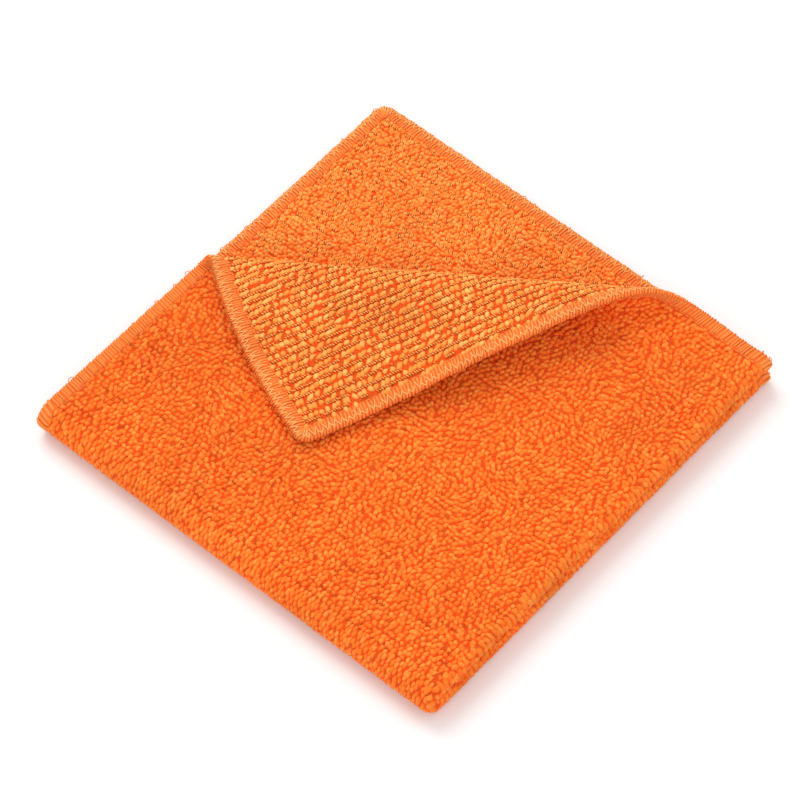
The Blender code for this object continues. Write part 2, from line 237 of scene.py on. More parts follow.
def new_group(name, inputs, outputs):
    """A shader node group with named sockets; returns it with its input and output nodes."""
    group = bpy.data.node_groups.new(name, "ShaderNodeTree")
    for label, kind in inputs:
        group.interface.new_socket(name=label, in_out="INPUT", socket_type=kind)
    for label, kind in outputs:
        group.interface.new_socket(name=label, in_out="OUTPUT", socket_type=kind)
    return group, group.nodes.new("NodeGroupInput"), group.nodes.new("NodeGroupOutput")


def yarn_group():
    """Colour and height of dyed yarn.

    Colour runs from Deep at a loop's foot, painted shade, to Bright at its top, painted light,
    is lightened or darkened for each loop by its tone and by soft blotches, and fine stretched
    noise gives the fibres.
    """
    colour, number = "NodeSocketColor", "NodeSocketFloat"
    group, given, made = new_group(
        "microfibre_yarn",
        [("Deep", colour), ("Bright", colour), ("Pale", colour), ("Fibre Scale", number)],
        [("Colour", colour), ("Height", number), ("Roughness", number)],
    )
    nodes, links = group.nodes, group.links
    place_on = nodes.new("ShaderNodeTexCoord")
    rise = nodes.new("ShaderNodeAttribute")
    rise.attribute_name = "rise"
    tone = nodes.new("ShaderNodeAttribute")
    tone.attribute_name = "tone"
    # By rise, painted shade at a loop's foot and painted light at its top.
    body = nodes.new("ShaderNodeMix")
    body.data_type = "RGBA"
    lift = nodes.new("ShaderNodeMath")
    lift.operation = "POWER"
    lift.inputs[1].default_value = 1.3
    links.new(rise.outputs["Fac"], lift.inputs[0])
    links.new(lift.outputs[0], body.inputs["Factor"])
    links.new(given.outputs["Deep"], body.inputs["A"])
    links.new(given.outputs["Bright"], body.inputs["B"])
    faded = nodes.new("ShaderNodeMix")
    faded.data_type = "RGBA"
    toned = nodes.new("ShaderNodeMath")
    toned.operation = "MULTIPLY"
    links.new(tone.outputs["Fac"], toned.inputs[0])
    links.new(lift.outputs[0], toned.inputs[1])
    links.new(toned.outputs[0], faded.inputs["Factor"])
    links.new(body.outputs["Result"], faded.inputs["A"])
    links.new(given.outputs["Pale"], faded.inputs["B"])
    blotch = nodes.new("ShaderNodeTexNoise")
    blotch.inputs["Scale"].default_value = 45.0
    blotch.inputs["Detail"].default_value = 3.0
    links.new(place_on.outputs["Object"], blotch.inputs["Vector"])
    spread = nodes.new("ShaderNodeMapRange")
    spread.inputs["From Min"].default_value = 0.3
    spread.inputs["From Max"].default_value = 0.7
    spread.inputs["To Min"].default_value = 0.88
    spread.inputs["To Max"].default_value = 1.06
    links.new(blotch.outputs["Fac"], spread.inputs["Value"])
    shaded = nodes.new("ShaderNodeHueSaturation")
    links.new(spread.outputs["Result"], shaded.inputs["Value"])
    links.new(faded.outputs["Result"], shaded.inputs["Color"])
    links.new(shaded.outputs["Color"], made.inputs["Colour"])
    fibre = nodes.new("ShaderNodeTexNoise")
    fibre.inputs["Detail"].default_value = 4.0
    fibre.inputs["Roughness"].default_value = 0.7
    links.new(place_on.outputs["Object"], fibre.inputs["Vector"])
    links.new(given.outputs["Fibre Scale"], fibre.inputs["Scale"])
    links.new(fibre.outputs["Fac"], made.inputs["Height"])
    matt = nodes.new("ShaderNodeMapRange")
    matt.inputs["To Min"].default_value = 0.82
    matt.inputs["To Max"].default_value = 1.0
    links.new(fibre.outputs["Fac"], matt.inputs["Value"])
    links.new(matt.outputs["Result"], made.inputs["Roughness"])
    return group


YARN = yarn_group()
FIBRE_SCALE = 2600.0     # fineness of the yarn's fibres; the sewing thread has its own


def matt_material(name, sheen):
    """A matt fabric material with a warm sheen; returns it with its Principled shader."""
    material = bpy.data.materials.new(name)
    material.use_nodes = True
    shader = material.node_tree.nodes["Principled BSDF"]
    shader.inputs["Specular IOR Level"].default_value = 0.18
    shader.inputs["Sheen Weight"].default_value = sheen
    shader.inputs["Sheen Roughness"].default_value = 0.45
    shader.inputs["Sheen Tint"].default_value = (1.0, 0.62, 0.36, 1.0)
    return material, shader


def yarn_material(name, deep, bright, pale, sheen, fibre_scale=FIBRE_SCALE, bump=0.00012):
    """Dyed microfibre in one shade, painted deep at the foot of a loop as painted shade and
    bright at its top as painted light.
    """
    material, shader = matt_material(name, sheen)
    nodes, links = material.node_tree.nodes, material.node_tree.links
    yarn = nodes.new("ShaderNodeGroup")
    yarn.node_tree = YARN
    yarn.inputs["Deep"].default_value = (*deep, 1.0)
    yarn.inputs["Bright"].default_value = (*bright, 1.0)
    yarn.inputs["Pale"].default_value = (*pale, 1.0)
    yarn.inputs["Fibre Scale"].default_value = fibre_scale
    relief = nodes.new("ShaderNodeBump")
    relief.inputs["Distance"].default_value = bump
    links.new(yarn.outputs["Height"], relief.inputs["Height"])
    links.new(yarn.outputs["Colour"], shader.inputs["Base Color"])
    links.new(yarn.outputs["Roughness"], shader.inputs["Roughness"])
    links.new(relief.outputs["Normal"], shader.inputs["Normal"])
    return material


# The reverse on the turned corner takes the light and is painted paler, painted light; the
# same yarn on the ply under it, below the roll, is a copy painted deeper, painted shade.
# The darkest material is painted shadow: dark strokes for the shade in the open knit between
# two legs.
LOOPED = yarn_material("looped_face", (0.97, 0.080, 0.004), (1.0, 0.225, 0.020),
                       (1.0, 0.33, 0.050), 0.15)
RIBBED = yarn_material("ribbed_reverse", (0.98, 0.165, 0.015), (1.0, 0.385, 0.064),
                       (1.0, 0.58, 0.165), 0.15)
SHADED_REVERSE = yarn_material("shaded_reverse", (0.98, 0.130, 0.010), (1.0, 0.282, 0.038),
                     (1.0, 0.44, 0.095), 0.15)
HOLLOW_SHADE = yarn_material("painted_hollow_shade", (0.48, 0.045, 0.003), (0.62, 0.068, 0.005),
                       (0.72, 0.09, 0.008), 0.0)
THREAD = yarn_material("overlock_thread", (0.93, 0.105, 0.008), (1.0, 0.315, 0.058),
                       (1.0, 0.56, 0.20), 0.12, fibre_scale=3400.0, bump=0.00008)

# The ground between the loops is a field of small plain stitches, about 0.8 mm each.  It is
# the same yarn, and has its fine unevenness in roughness.  It is painted a deeper orange than
# the loops' tops, painted shade in the crevices under them, and each stitch is painted
# brighter on its crown and deeper at its edges, painted light and shade.
KNIT, knit_shader = matt_material("ground_knit", 0.1)
knit_nodes, knit_links = KNIT.node_tree.nodes, KNIT.node_tree.links
knit_yarn = knit_nodes.new("ShaderNodeGroup")
knit_yarn.node_tree = YARN
knit_yarn.inputs["Fibre Scale"].default_value = FIBRE_SCALE
knit_links.new(knit_yarn.outputs["Roughness"], knit_shader.inputs["Roughness"])
knit_place = knit_nodes.new("ShaderNodeTexCoord")
stitch_cells = knit_nodes.new("ShaderNodeTexVoronoi")
stitch_cells.inputs["Scale"].default_value = 1250.0
knit_links.new(knit_place.outputs["Object"], stitch_cells.inputs["Vector"])
stitch_crown = knit_nodes.new("ShaderNodeMapRange")
stitch_crown.inputs["From Min"].default_value = 0.15
stitch_crown.inputs["From Max"].default_value = 0.65
stitch_crown.inputs["To Min"].default_value = 1.0
stitch_crown.inputs["To Max"].default_value = 0.0
knit_links.new(stitch_cells.outputs["Distance"], stitch_crown.inputs["Value"])
# Painted light on each stitch's crown, painted shade at its edges.
stitch_colour = knit_nodes.new("ShaderNodeMix")
stitch_colour.data_type = "RGBA"
stitch_colour.inputs["A"].default_value = (0.92, 0.080, 0.004, 1.0)
stitch_colour.inputs["B"].default_value = (1.0, 0.190, 0.016, 1.0)
knit_links.new(stitch_crown.outputs["Result"], stitch_colour.inputs["Factor"])
knit_links.new(stitch_colour.outputs["Result"], knit_shader.inputs["Base Color"])
stitch_relief = knit_nodes.new("ShaderNodeBump")
stitch_relief.inputs["Distance"].default_value = 0.0006
knit_links.new(stitch_crown.outputs["Result"], stitch_relief.inputs["Height"])
knit_links.new(stitch_relief.outputs["Normal"], knit_shader.inputs["Normal"])


def add_piece(name, points, faces, material, rise=None, tone=None):
    """A smooth mesh of points and faces, with its rise and tone stored on its points."""
    mesh = bpy.data.meshes.new(name)
    mesh.from_pydata(points, [], faces)
    for label, value in (("rise", rise), ("tone", tone)):
        if value is not None:
            attribute = mesh.attributes.new(label, "FLOAT", "POINT")
            attribute.data.foreach_set("value", np.asarray(value, np.float32))
    mesh.shade_smooth()
    mesh.materials.append(material)
    piece = bpy.data.objects.new(name, mesh)
    bpy.context.scene.collection.objects.link(piece)
    return piece


# The knitted ground -------------------------------------------------------------------
# A thin weft-knitted web that holds the loops of both faces.  It is one sheet; the part in
# the outer band of the second fold and the turned corner are meshes of their own.

INSIDE = 0.0024          # the ground ends this far inside the towel's rim, in the edging
CELL = 0.0040            # size of the ground's cells
WAVE = 0.00012           # how far the ground waves up and down
# Rows of points down a ply, round the second fold and down the turned corner, and columns
# round the first fold.
ROWS, FOLD_ROWS, CORNER_ROWS, LIP_COLUMNS = 40, 17, 90, 12


def steps(start, end, size):
    """Evenly spaced values from start to end, about size apart."""
    return np.linspace(start, end, 2 + int(abs(end - start) / size))


def line_v(u):
    """The lift-off line on the flat towel: its v at each u, straight from edge to edge."""
    return LIFT_DOWN * (1 - u / (FLAT_U - LIFT_SHORT))


def grid_faces(rows, columns, keep=None):
    """Quads of a grid of points stored row by row; keep is a mask of the cells."""
    index = np.arange(rows * columns).reshape(rows, columns)
    quads = np.stack([index[:-1, :-1], index[:-1, 1:], index[1:, 1:], index[1:, :-1]], -1)
    return (quads if keep is None else quads[keep]).reshape(-1, 4)


def knit_sheet(name, u, v, keep=None):
    """A web over the grids u and v, waved a little, with a wall of its own thickness."""
    waves = WAVE * swirl(u, v, 4.0)
    points = place(np.column_stack([u.ravel(), v.ravel(), waves.ravel()]))
    quads = grid_faces(*u.shape, keep)
    used, quads = np.unique(quads, return_inverse=True)
    piece = add_piece(name, points[used], quads.reshape(-1, 4), KNIT)
    wall = piece.modifiers.new("wall", "SOLIDIFY")
    wall.thickness = GROUND
    wall.offset = 0.0
    return piece


across_u = np.concatenate([
    steps(INSIDE, FLAT_U, CELL)[:-1],
    steps(FLAT_U, FLAT_U + LIP_ARC, LIP_ARC / LIP_COLUMNS)[:-1],
    steps(FLAT_U + LIP_ARC, WIDTH - INSIDE, CELL),
])
cut_v = np.maximum(line_v(across_u), INSIDE)
down_ply = np.linspace(0.0, 1.0, ROWS)[:, None]
round_fold = np.linspace(0.0, 1.0, FOLD_ROWS)[:, None]
upper_v = cut_v + (FLAT_V - cut_v) * down_ply
fold_v = FLAT_V + FOLD_ARC * round_fold + 0 * across_u
lower_v = FLAT_V + FOLD_ARC + (FLAT_V - INSIDE) * down_ply + 0 * across_u
sheet_v = np.concatenate([upper_v[:-1], fold_v[:-1], lower_v])
sheet_u = np.broadcast_to(across_u, sheet_v.shape)
outer_columns = across_u[:-1] < FLAT_U
row = np.arange(len(sheet_v) - 1)
fold_rows = (row >= ROWS - 1) & (row < ROWS + FOLD_ROWS - 2)
keep_sheet = ~(fold_rows[:, None] & outer_columns[None, :])
towel_sheet = knit_sheet("towel_sheet", sheet_u, sheet_v, keep_sheet)
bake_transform(towel_sheet)
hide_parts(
    "bottom_quarter", "second_quarter", "third_quarter", "top_quarter",
    "first_fold_lower_lip", "first_fold_upper_lip", "second_fold_inner", "closed_corner",
)

outer_u = across_u[:np.count_nonzero(outer_columns) + 1]
outer_v = fold_v[:, :len(outer_u)]
fold_sheet = knit_sheet("fold_sheet", np.broadcast_to(outer_u, outer_v.shape), outer_v)
carry(fold_sheet, OUTER_FOLD)
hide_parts("second_fold_outer")

corner_u = steps(INSIDE, (FLAT_U - LIFT_SHORT) * (1 - INSIDE / LIFT_DOWN), CELL / 2)[:-1]
to_line = 1 - np.linspace(1.0, 0.0, CORNER_ROWS)[:, None] ** 1.5
corner_v = INSIDE + (line_v(corner_u) - INSIDE) * to_line
corner_sheet = knit_sheet("corner_sheet", np.broadcast_to(corner_u, corner_v.shape), corner_v)
carry(corner_sheet, TURNED)
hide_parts("corner_roll", "corner_flap")


# The looped face ----------------------------------------------------------------------
# Plump loops of split yarn in rows along the cloth's width, about 2 mm apart.  Use has
# pressed them into swirls, and along the folds they stand upright in plain rows.

NEEDLE_IN = 0.0046       # the overlock's needle line, in from the rim; loops stop there
LOOP_TOP = PLY / 2       # the loops' tops are the ply's surface
LOOP_FOOT = 0.25 * GROUND
SWIRL_FROM = 0.0450      # loops swirl freely from this far off the second fold


def edge_distance(u, v):
    """Distance of a point of the flat towel from its nearest sewn edge."""
    return np.minimum(np.minimum(u, WIDTH - u), np.minimum(v, LENGTH - v))


def loop_grid(u_range, v_range, pitch, seed):
    """Loop feet in offset rows of pitch (along, between), scattered by part of the pitch."""
    rng = np.random.default_rng(seed)
    along = np.arange(u_range[0] + pitch[0] / 2, u_range[1], pitch[0])
    between = np.arange(v_range[0] + pitch[1] / 2, v_range[1], pitch[1])
    u, v = np.meshgrid(along, between)
    u = u + (np.arange(len(between)) % 2)[:, None] * pitch[0] / 2
    u = u + rng.uniform(-0.17, 0.17, u.shape) * pitch[0]
    v = v + rng.uniform(-0.15, 0.15, v.shape) * pitch[1]
    return u.ravel(), v.ravel(), rng


def bent_tubes(u, v, heading, length, width, top, foot, bend, rings, sides):
    """Closed bent tubes in flat-towel coordinates, one for each loop.

    Along a loop t runs from -1 to 1: the middle line goes length t / 2 along the heading,
    bend (1 - t^2) to the side, and rises from the foot to the top as 1 - t^4.  The tube's
    radius is width / 2 times the root of 1 - (0.93 t)^2.
    """
    t = np.linspace(-1.0, 1.0, rings)[None, :, None]
    turn = (np.arange(sides) * 2 * np.pi / sides)[None, None, :]
    each = (slice(None), None, None)
    radius = width[each] / 2 * np.sqrt(1 - (0.93 * t) ** 2)
    low = foot[each]
    crown = top[each] - width[each] / 2
    height = low + (crown - low) * (1 - t ** 4) + radius * np.sin(turn)
    ahead = length[each] / 2 * t - 0 * turn
    aside = bend[each] * (1 - t ** 2) + radius * np.cos(turn)
    cos, sin = np.cos(heading)[each], np.sin(heading)[each]
    points = np.stack([
        u[each] + ahead * cos - aside * sin,
        v[each] + ahead * sin + aside * cos,
        height,
    ], -1)
    rise = np.clip((height - low) / (top[each] - low), 0.0, 1.0)
    return points.reshape(-1, 3), rise.ravel(), tube_faces(len(u), rings, sides)


def tube_faces(count, rings, sides):
    """Faces of count tubes: quads between the rings, and one face over each end."""
    ring = np.arange(rings - 1)[:, None] * sides
    side, next_side = np.arange(sides), (np.arange(sides) + 1) % sides
    quads = np.stack([ring + side, ring + next_side,
                      ring + sides + next_side, ring + sides + side], -1).reshape(-1, 4)
    shift = np.arange(count)[:, None, None] * rings * sides
    caps = np.stack([side[::-1], (rings - 1) * sides + side])
    return (quads + shift).reshape(-1, 4).tolist() + (caps + shift).reshape(-1, sides).tolist()


def add_loops(name, part, points, faces, face, material, rise, tone):
    """One piece of bent tubes, set on one face of the cloth and carried to the folded towel."""
    points[:, 2] *= face
    if face < 0:
        faces = [f[::-1] for f in faces]
    piece = add_piece(name, place(points), faces, material, rise, tone)
    carry(piece, part)


def pile(name, part, u, v, rng, size, face, material, heading, detail):
    """One piece of loops: those of the given part, inside the needle line, on one face.

    size is (length, width) and detail (rings, sides); face is 1 for the looped face and -1
    for the reverse.
    """
    keep = (part_of(u, v) == part) & (edge_distance(u, v) > NEEDLE_IN)
    u, v, heading = u[keep], v[keep], heading[keep]
    count = len(u)
    grow = rng.uniform(0.8, 1.2, count)
    length, width = size[0] * grow, size[1] * rng.uniform(0.8, 1.15, count)
    tall = LOOP_TOP * rng.uniform(0.84, 1.0, count)
    foot = np.full(count, LOOP_FOOT)
    bend = rng.uniform(-0.35, 0.35, count) * size[1]
    points, rise, faces = bent_tubes(
        u, v, heading, length, width, tall, foot, bend, *detail
    )
    tone = np.repeat(rng.random(count) ** 2, detail[0] * detail[1])
    add_loops(name, part, points, faces, face, material, rise, tone)


def looped_face(name, part, u_range, v_range, pitch, size, seed, detail=(5, 6), wild=1.0):
    """Loops of the outer face over a range of the flat towel.  They swirl by wild, less and
    less towards the second fold."""
    u, v, rng = loop_grid(u_range, v_range, pitch, seed)
    from_fold = np.abs(v - (FLAT_V + FOLD_ARC / 2))
    free = wild * np.clip(from_fold / SWIRL_FROM, 0.15, 1.0)
    heading = np.pi / 2 + 1.6 * free * swirl(u, v, 9.0) + rng.normal(0.0, 0.4, len(u))
    pile(name, part, u, v, rng, size, 1, LOOPED, heading, detail)


UPPER_V, FOLD_V, LOWER_V = (0, FLAT_V), (FLAT_V, FLAT_V + FOLD_ARC), (FLAT_V + FOLD_ARC, LENGTH)
LIP_U = (FLAT_U, FLAT_U + LIP_ARC)
PLUMP = (0.0024, 0.00195)            # a loop's length and width
SPACED = (0.00168, 0.00175)          # from loop to loop, and from row to row
ON_LIP = (0.0009, 0.0019)            # the same over the first fold, where they lie closer
UPRIGHT = (0.0016, 0.00175)          # length and width over the second fold
ON_FOLD = (0.00165, 0.0009)          # and the way from one to the next there
for index, side in enumerate(("left", "middle", "right")):
    third = (FLAT_U * index / 3, FLAT_U * (index + 1) / 3)
    looped_face("top_loops_" + side, UPPER, third, UPPER_V, SPACED, PLUMP, 11 + index)
looped_face("corner_loops", TURNED, (0, FLAT_U), (0, LIFT_DOWN), SPACED, PLUMP, 14)
looped_face("upper_lip_loops", UPPER, LIP_U, UPPER_V, ON_LIP, PLUMP, 15)
looped_face("lower_lip_loops", LOWER, LIP_U, LOWER_V, ON_LIP, PLUMP, 16)
looped_face("fold_loops", OUTER_FOLD, (0, FLAT_U + LIP_ARC / 2), FOLD_V, ON_FOLD, UPRIGHT, 17,
            wild=0.3)

# Between the plies and underneath the loops are pressed flat, and are seen only when the
# towel is opened or lifted.
INNER_U = (FLAT_U + LIP_ARC, WIDTH)
PRESSED, WIDE = (0.0030, 0.0022), (0.0023, 0.0024)         # size of a loop, way to the next
CREASED, IN_CREASE = (0.0030, 0.0016), (0.0021, 0.0030)    # the same inside the second fold
PLAIN = (4, 4)           # rings and sides of a loop
looped_face("inner_upper_loops", UPPER, INNER_U, UPPER_V, WIDE, PRESSED, 21, PLAIN)
looped_face("inner_lower_loops", LOWER, INNER_U, LOWER_V, WIDE, PRESSED, 22, PLAIN)
looped_face("underside_loops", LOWER, (0, FLAT_U), LOWER_V, WIDE, PRESSED, 23, PLAIN)
looped_face("inner_fold_loops", INNER_FOLD, (FLAT_U + LIP_ARC / 2, WIDTH), FOLD_V,
            IN_CREASE, CREASED, 24, (5, 4), 0.2)


# The ribbed reverse -------------------------------------------------------------------
# The reverse has its loops in ribs along the cloth's width.  Between two ribs the slanted
# legs of the knit show as fine pale strokes, and between them dark strokes of painted shade
# stand for the shadow in the knit's open hollows.

RIB = 0.0031             # from one rib to the next, on the turned corner
FINE_RIB = 0.0029        # the same on the ply under it, where the loops lie closer
CLOSE = 0.82             # from loop to loop along a rib, in widths of a loop
LEG = 0.00076            # from one leg to the next, along a groove
STROKE = 0.0012          # length of a leg
LEAN = {1: 1.30, -1: -1.05}          # a leg's heading on the looped face and on the reverse
STROKE_DETAIL = (4, 4)
SEEN_UNDER = 0.0050      # how far the reverse shows under the roll, before the lift-off line


def shown(u, v):
    """Where the reverse is seen: on the turned corner, and on the ply that it uncovers."""
    return (past_line(u, v) > 0) | (past_line(WIDTH - u, v) > -SEEN_UNDER)


def ribbed_face(name, part, u_range, v_range, rib, rows, groove, size, seed, wild, material):
    """Loops of the reverse in ribs of so many rows each, with a bare groove between ribs.

    Loops are drawn towards the middle of their rib, by up to half of groove.
    """
    u, v, rng = loop_grid(u_range, v_range, (size[1] * CLOSE, rib / rows), seed)
    u, v = u[shown(u, v)], v[shown(u, v)]
    into_rib = v / rib - np.floor(v / rib) - 0.5
    v = v - into_rib * groove
    heading = 1.1 + wild * swirl(u, v, 3.0) + rng.normal(0.0, 0.4 * wild, len(u))
    pile(name, part, u, v, rng, size, -1, material, heading, (5, 6))


def groove_strokes(name, part, u_range, v_range, rib, material, slot, face, look, show):
    """Short slanted tubes in the grooves between ribs, on one face of the cloth.

    The scattered grid is set back to one row in each groove and one tube to a leg.  look is
    (shift along the groove in legs, width, top).  show is the share of the tubes that the
    loops leave open, in soft patches.
    """
    shift, width, top = look
    u, v, rng = loop_grid(u_range, v_range, (LEG, rib), 32)
    v = np.floor(v / rib) * rib + rng.normal(0.0, 0.00008, len(v))
    u = (np.floor(u / LEG - 0.25) + shift) * LEG + rng.normal(0.0, 0.00004, len(v))
    open_here = 0.5 + 0.5 * swirl(3 * u, 3 * v, 6.0) + rng.normal(0.0, 0.15, len(u)) < show
    keep = (part_of(u, v) == part) & (edge_distance(u, v) > NEEDLE_IN) & open_here
    if face < 0:
        keep &= shown(u, v)
    u, v = u[keep], v[keep]
    every = np.ones(len(u))
    points, rise, faces = bent_tubes(
        u, v, LEAN[face] * every, STROKE * every, width * every, top * every,
        (top - width) * every, 0 * every, *STROKE_DETAIL,
    )
    tone = np.repeat(rng.random(len(u)), math.prod(STROKE_DETAIL))
    add_loops(name, part, points, faces, face, material, 0.4 + 0.6 * rise, tone)


BLOB, FINE = (0.0026, 0.00200), (0.0020, 0.00172)    # a loop's length and width
CORNER = ((0, FLAT_U), (0, LIFT_DOWN))
REVEALED = (INNER_U, (0, LIFT_DOWN))
ribbed_face("corner_ribs", TURNED, *CORNER, RIB, 1, 0.0020, BLOB, 31, 0.6, RIBBED)
# The ply under the roll has the reverse painted deeper, painted shade.
ribbed_face("revealed_ribs", UPPER, *REVEALED, FINE_RIB, 2, 0.0002, FINE, 33, 1.2, SHADED_REVERSE)
# The legs are pale yarn; the second look makes dark strokes of painted shade, the shadow between
# the legs.
PALE_LEG, GAP_SHADE = (0.0, 0.00046, 0.00136), (0.5, 0.00025, 0.00118)
for name, part, span, rib, show in (
    ("corner", TURNED, CORNER, RIB, 0.66), ("revealed", UPPER, REVEALED, FINE_RIB, 0.50)
):
    groove_strokes(name + "_legs", part, *span, rib, RIBBED, "terry_back", -1, PALE_LEG, show)
    groove_strokes(name + "_gap_shade", part, *span, rib, HOLLOW_SHADE, "terry_back", -1, GAP_SHADE, show)

# On the looped face the same dark strokes of painted shade show here and there, mostly in
# the plain rows that run along the second fold.
ROW = 2 * SPACED[1]
SLIT_SHADE = (0.5, 0.00026, 0.00140)
PLAIN_ROWS = 0.0340      # width of the strip of plain rows
NEAR_FOLD = ((0, FLAT_U), (FLAT_V - PLAIN_ROWS, FLAT_V))
groove_strokes("fold_row_gap_shade", UPPER, *NEAR_FOLD, ROW, HOLLOW_SHADE, "terry_pile", 1, SLIT_SHADE, 0.26)
AWAY = ((0, FLAT_U), (0, FLAT_V - PLAIN_ROWS))
groove_strokes("top_row_gap_shade", UPPER, *AWAY, ROW, HOLLOW_SHADE, "terry_pile", 1, SLIT_SHADE, 0.07)


# The overlocked edge ------------------------------------------------------------------
# A three-thread overlock binds the raw edge: two looper threads wrap the rim in slanted
# strands, and the needle thread holds them along a line 4.6 mm in.

RIM_RADIUS = 0.0040      # rounding of the towel's corners
MID_BAND = 0.0020        # in from the rim, where a stitch's part of the towel is looked up
SIDES = np.array([LENGTH, WIDTH, LENGTH, WIDTH]) - 2 * RIM_RADIUS
ARC = math.pi / 2 * RIM_RADIUS       # the way round one corner
RIM_LENGTH = float(SIDES.sum() + 4 * ARC)


def rim(s, inward):
    """Point of the flat towel at s along its rim and so far inward, as (u, v).

    s starts at the lower back edge's left corner and runs up the outer left edge, along the
    upper back edge, down the inner left edge, and back along the lower back edge.  Round a
    corner, points further in than its radius stay just short of its centre.
    """
    s = np.mod(s, RIM_LENGTH)
    starts = np.concatenate([[0], np.cumsum(SIDES + ARC)])
    side = np.clip(np.searchsorted(starts, s, side="right") - 1, 0, 3)
    on_side = s - starts[side]
    straight = np.minimum(on_side, SIDES[side])
    turn = (on_side - straight) / RIM_RADIUS
    begin = np.array([[0, LENGTH - RIM_RADIUS], [RIM_RADIUS, 0],
                      [WIDTH, RIM_RADIUS], [WIDTH - RIM_RADIUS, LENGTH]])[side]
    ahead = np.array([[0, -1], [1, 0], [0, 1], [-1, 0]])[side]
    into = np.array([[1, 0], [0, 1], [-1, 0], [0, -1]])[side]
    pull = np.where(turn > 0, np.minimum(inward, RIM_RADIUS - 0.0002), inward)
    reach = RIM_RADIUS - pull
    centre = begin + ahead * straight[:, None] + into * RIM_RADIUS
    round_in, round_on = (reach * np.cos(turn))[:, None], (reach * np.sin(turn))[:, None]
    on_arc = centre - into * round_in + ahead * round_on
    on_line = begin + ahead * straight[:, None] + into * inward[:, None]
    return np.where((turn > 0)[:, None], on_arc, on_line)


BAND_IN = 0.0050         # width of the band
BAND_HALF = 0.00095      # half its thickness, without the threads
BAND_ROUND = 0.0011      # how far in its rounding reaches
DIP_REACH = 0.0006       # how wide the dip under the needle thread is, each way
STRAND_IN = 0.0044       # how far in the looper strands reach


def band_height(inward):
    """Half the band's thickness: a rounded rim, a flat back, and a dip at the needle line."""
    round_rim = np.sqrt(np.clip(1 - (1 - inward / BAND_ROUND) ** 2, 0.0, 1.0))
    rounded = np.where(inward < BAND_ROUND, round_rim, 1.0)
    dip = 0.45 * np.exp(-((inward - NEEDLE_IN) / DIP_REACH) ** 2)
    return BAND_HALF * rounded * (1 - dip) + 0.00004


def on_rim(s, inward, above):
    """Points at s along the rim, inward from it, and above the middle of the cloth."""
    return np.column_stack([rim(s, inward), above])


profile = np.concatenate([BAND_ROUND * (1 - np.cos(np.linspace(0, np.pi / 2, 5))),
                          np.linspace(BAND_ROUND, BAND_IN, 8)[1:]])
SECTION_IN = np.concatenate([profile, profile[::-1][:-1]])
SECTION_UP = np.concatenate([band_height(profile), -band_height(profile)[::-1][:-1]])
SECTION_UP[0] = 0.0

SAMPLE = 0.0005          # from one section of the band to the next
s_line = np.arange(0.0, RIM_LENGTH + SAMPLE, SAMPLE)
s_line = s_line * RIM_LENGTH / s_line[-1]
middle = rim((s_line[:-1] + s_line[1:]) / 2, np.full(len(s_line) - 1, MID_BAND))
s_part = part_of(middle[:, 0], middle[:, 1])
breaks = np.concatenate([[0], np.nonzero(np.diff(s_part))[0] + 1, [len(s_part)]])

STITCHES = int(RIM_LENGTH / 0.0020)      # stitches of about 2 mm, a whole number round the rim
STITCH = RIM_LENGTH / STITCHES


def band_run(first, last):
    """The band from one rim sample to another: its section carried along, closed at both
    ends, with a low rib for each strand below the surface threads."""
    s = s_line[first:last + 1]
    rows, sides = len(s), len(SECTION_IN)
    along = np.repeat(s, sides)
    inward = np.tile(SECTION_IN, rows)
    up = np.tile(SECTION_UP, rows)
    rib = 1 + 0.10 * np.sin(2 * np.pi * (along + 0.35 * inward * np.sign(up)) / (STITCH / 2))
    points = place(on_rim(along, inward, up * rib))
    # Painted shade under the threads: deepest in colour where the band lies low, at the
    # rim and in its last millimetre, and a little paler between.
    rise = np.clip(0.4 * np.abs(up) / 0.0010 - 0.4 * (inward > 0.0040), 0.0, 0.4)
    index = np.arange(rows * sides).reshape(rows, sides)
    after = np.roll(index, -1, axis=1)
    quads = np.stack([index[:-1], after[:-1], after[1:], index[1:]], -1).reshape(-1, 4)
    return points, quads.tolist() + [index[0][::-1].tolist(), index[-1].tolist()], rise


def thread_run(s, inward, above, radius, sides=5):
    """Tubes along paths given on the rim: one row of s, inward and above for each tube."""
    count, rings = s.shape
    middle = on_rim(s.ravel(), inward.ravel(), above.ravel()).reshape(count, rings, 3)
    way = np.gradient(middle, axis=1)
    way = way / np.linalg.norm(way, axis=2, keepdims=True)
    aside = np.cross(way, [0.0, 0.0, 1.0])
    flat_way = np.linalg.norm(aside, axis=2, keepdims=True)
    aside = np.where(flat_way > 0.2, aside / np.maximum(flat_way, 1e-9), [1.0, 0.0, 0.0])
    aside = aside - (aside * way).sum(axis=2, keepdims=True) * way
    aside = aside / np.linalg.norm(aside, axis=2, keepdims=True)
    over = np.cross(aside, way)
    turn = np.arange(sides) * 2 * np.pi / sides
    ring = aside[:, :, None] * np.cos(turn)[:, None] + over[:, :, None] * np.sin(turn)[:, None]
    points = middle[:, :, None] + radius * ring
    return place(points.reshape(-1, 3)), tube_faces(count, rings, sides)


